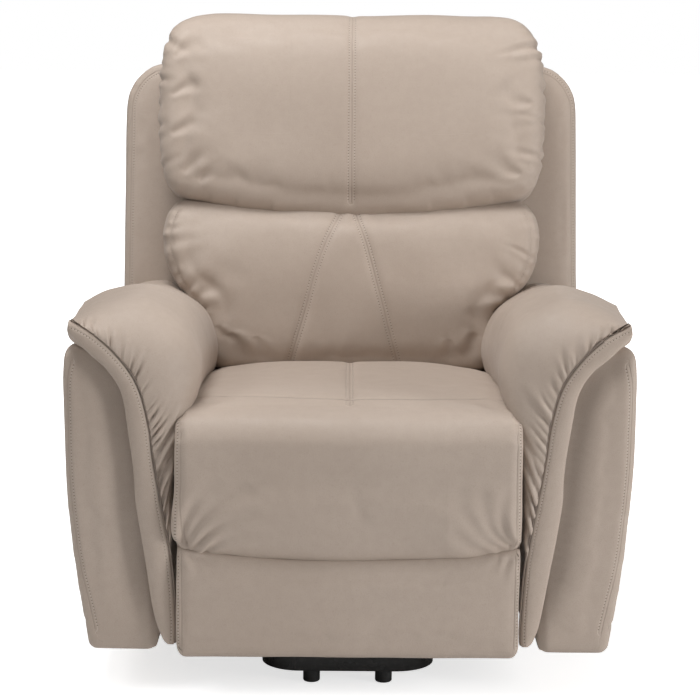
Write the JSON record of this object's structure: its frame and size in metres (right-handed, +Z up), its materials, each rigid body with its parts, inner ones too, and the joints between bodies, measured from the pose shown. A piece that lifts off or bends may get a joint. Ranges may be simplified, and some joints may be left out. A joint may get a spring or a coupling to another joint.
{
  "type": "lift recliner chair",
  "caption": "Padded power lift armchair: a motor-driven four-bar base tilts it forward, the back reclines and a chaise leg rest swings up.",
  "frame": {"origin": "on the floor, at the middle of the chair's width and of its depth at rest", "axes": "+Z up, the sitter faces -Y, +X is the sitter's left"},
  "size_m": [0.89, 0.9214, 1.0487],
  "materials": {
    "black_steel": "glossy black powder coat",
    "grey_steel": "satin grey paint",
    "zinc_steel": "zinc plated",
    "spring_steel": "oiled wire",
    "black_rubber": "matt",
    "black_plastic": "fine grain",
    "grey_plastic": "satin",
    "timber": "sawn",
    "taupe_leather": "smooth, fine grain",
    "black_fabric": "woven strap"
  },
  "bodies": {
    "floor_base": {"base_frame": "black_steel", "base_brackets": "black_steel", "front_feet": "black_rubber", "wide_feet": "black_rubber", "base_pivot_pins": "zinc_steel", "power_supply": "black_plastic"},
    "front_lift_link": {"front_lift_links": "black_steel"},
    "rear_lift_link": {"rear_lift_links": "black_steel"},
    "lift_motor": {"lift_motor": "black_plastic", "lift_actuator_tube": "grey_plastic"},
    "lift_rod": {"lift_rod": "zinc_steel"},
    "chair": {"lift_frame": "black_steel", "frame_pins": "zinc_steel", "side_plates": "grey_steel", "side_plate_bolts": "zinc_steel", "seat_frame": "timber", "seat_springs": "spring_steel", "seat_cushion": "taupe_leather", "leg_hinge_posts": "grey_steel", "arm_cover_left": "taupe_leather", "arm_cover_right": "taupe_leather", "arm_frame_left": "timber", "arm_frame_right": "timber", "arm_pad_left": "taupe_leather", "arm_pad_right": "taupe_leather", "arm_facing_left": "taupe_leather", "arm_facing_right": "taupe_leather", "arm_brackets": "grey_steel", "rear_skirt": "taupe_leather", "skirt_battens": "timber", "pocket_panel": "taupe_leather", "handset_cord": "black_rubber"},
    "back": {"back_shell": "taupe_leather", "back_frame": "timber", "back_posts": "grey_steel", "back_webbing": "black_fabric", "recline_lever": "grey_steel", "lumbar_cushion": "taupe_leather", "head_cushion": "taupe_leather"},
    "recline_motor": {"recline_motor": "black_plastic", "recline_actuator_tube": "grey_plastic"},
    "recline_rod": {"recline_rod": "zinc_steel"},
    "leg_rest": {"leg_hinge_straps": "grey_steel", "leg_board": "timber", "leg_brackets": "grey_steel", "calf_pad": "taupe_leather", "foot_pad": "taupe_leather"},
    "crank": {"crank_shaft": "grey_steel", "crank_pins": "zinc_steel"},
    "leg_link": {"leg_links": "grey_steel"},
    "leg_motor": {"leg_motor": "black_plastic", "leg_actuator_tube": "grey_plastic"},
    "leg_rod": {"leg_rod": "zinc_steel"},
    "handset": {"handset": "black_plastic"},
    "lift_button": {"lift_button": "grey_plastic"},
    "lower_button": {"lower_button": "grey_plastic"},
    "recline_button": {"recline_button": "grey_plastic"},
    "upright_button": {"upright_button": "grey_plastic"}
  },
  "joints": [
    {"name": "lift", "type": "hinge", "parent": "floor_base", "child": "front_lift_link", "pos_m": [0, 0.11932, 0.108], "axis": [-1, 0, 0], "range_deg": [0, 45]},
    {"name": "rear_lift", "type": "hinge", "parent": "floor_base", "child": "rear_lift_link", "pos_m": [0, 0.30432, 0.072], "axis": [-1, 0, 0], "range_deg": [0, 38]},
    {"name": "chair_tilt", "type": "hinge", "parent": "front_lift_link", "child": "chair", "pos_m": [0, -0.20568, 0.142], "axis": [-1, 0, 0], "range_deg": [-74, 0]},
    {"name": "lift_motor_swing", "type": "hinge", "parent": "floor_base", "child": "lift_motor", "pos_m": [0, -0.27268, 0.066], "axis": [-1, 0, 0], "range_deg": [-6, 1]},
    {"name": "lift_rod_stroke", "type": "slide", "parent": "lift_motor", "child": "lift_rod", "axis": [0, 0.9786, 0.2056], "range_m": [0, 0.09]},
    {"name": "recline", "type": "hinge", "parent": "chair", "child": "back", "pos_m": [0, 0.23932, 0.3], "axis": [-1, 0, 0], "range_deg": [0, 40]},
    {"name": "recline_motor_swing", "type": "hinge", "parent": "chair", "child": "recline_motor", "pos_m": [0, -0.13668, 0.24], "axis": [-1, 0, 0], "range_deg": [-1, 4]},
    {"name": "recline_rod_stroke", "type": "slide", "parent": "recline_motor", "child": "recline_rod", "axis": [0, 0.9987, 0.0502], "range_m": [-0.037, 0]},
    {"name": "leg_rest", "type": "hinge", "parent": "chair", "child": "leg_rest", "pos_m": [0, -0.43368, 0.434], "axis": [-1, 0, 0], "range_deg": [0, 85]},
    {"name": "crank_turn", "type": "hinge", "parent": "chair", "child": "crank", "pos_m": [0, -0.26568, 0.285], "axis": [-1, 0, 0], "range_deg": [0, 86]},
    {"name": "leg_link_turn", "type": "hinge", "parent": "crank", "child": "leg_link", "pos_m": [0, -0.23768, 0.141], "axis": [-1, 0, 0], "range_deg": [-86, 0]},
    {"name": "leg_motor_swing", "type": "hinge", "parent": "chair", "child": "leg_motor", "pos_m": [0, 0.12432, 0.24], "axis": [-1, 0, 0], "range_deg": [-4, 1]},
    {"name": "leg_rod_stroke", "type": "slide", "parent": "leg_motor", "child": "leg_rod", "axis": [0, -0.9982, 0.0603], "range_m": [0, 0.048]},
    {"name": "handset_lift", "type": "slide", "parent": "chair", "child": "handset", "axis": [0, 0, 1], "range_m": [0, 0.085], "deforming": ["handset_cord"]},
    {"name": "lift_button_press", "type": "slide", "parent": "handset", "child": "lift_button", "axis": [-1, 0, 0], "range_m": [0, 0.0012], "stiffness_N_per_m": 30},
    {"name": "lower_button_press", "type": "slide", "parent": "handset", "child": "lower_button", "axis": [-1, 0, 0], "range_m": [0, 0.0012], "stiffness_N_per_m": 30},
    {"name": "recline_button_press", "type": "slide", "parent": "handset", "child": "recline_button", "axis": [-1, 0, 0], "range_m": [0, 0.0012], "stiffness_N_per_m": 30},
    {"name": "upright_button_press", "type": "slide", "parent": "handset", "child": "upright_button", "axis": [-1, 0, 0], "range_m": [0, 0.0012], "stiffness_N_per_m": 30}
  ],
  "couplings": [
    {"joint": "rear_lift", "follows": "lift", "ratio": 0.8309},
    {"joint": "chair_tilt", "follows": "lift", "ratio": -1.6222},
    {"joint": "lift_motor_swing", "follows": "lift", "ratio": -0.098587},
    {"joint": "lift_rod_stroke", "follows": "lift", "m_per_rad": 0.1116},
    {"joint": "recline_motor_swing", "follows": "recline", "ratio": 0.075718},
    {"joint": "recline_rod_stroke", "follows": "recline", "m_per_rad": -0.050264},
    {"joint": "crank_turn", "follows": "leg_rest", "ratio": 1},
    {"joint": "leg_link_turn", "follows": "leg_rest", "ratio": -1},
    {"joint": "leg_motor_swing", "follows": "leg_rest", "ratio": -0.026153},
    {"joint": "leg_rod_stroke", "follows": "leg_rest", "m_per_rad": 0.031214}
  ]
}
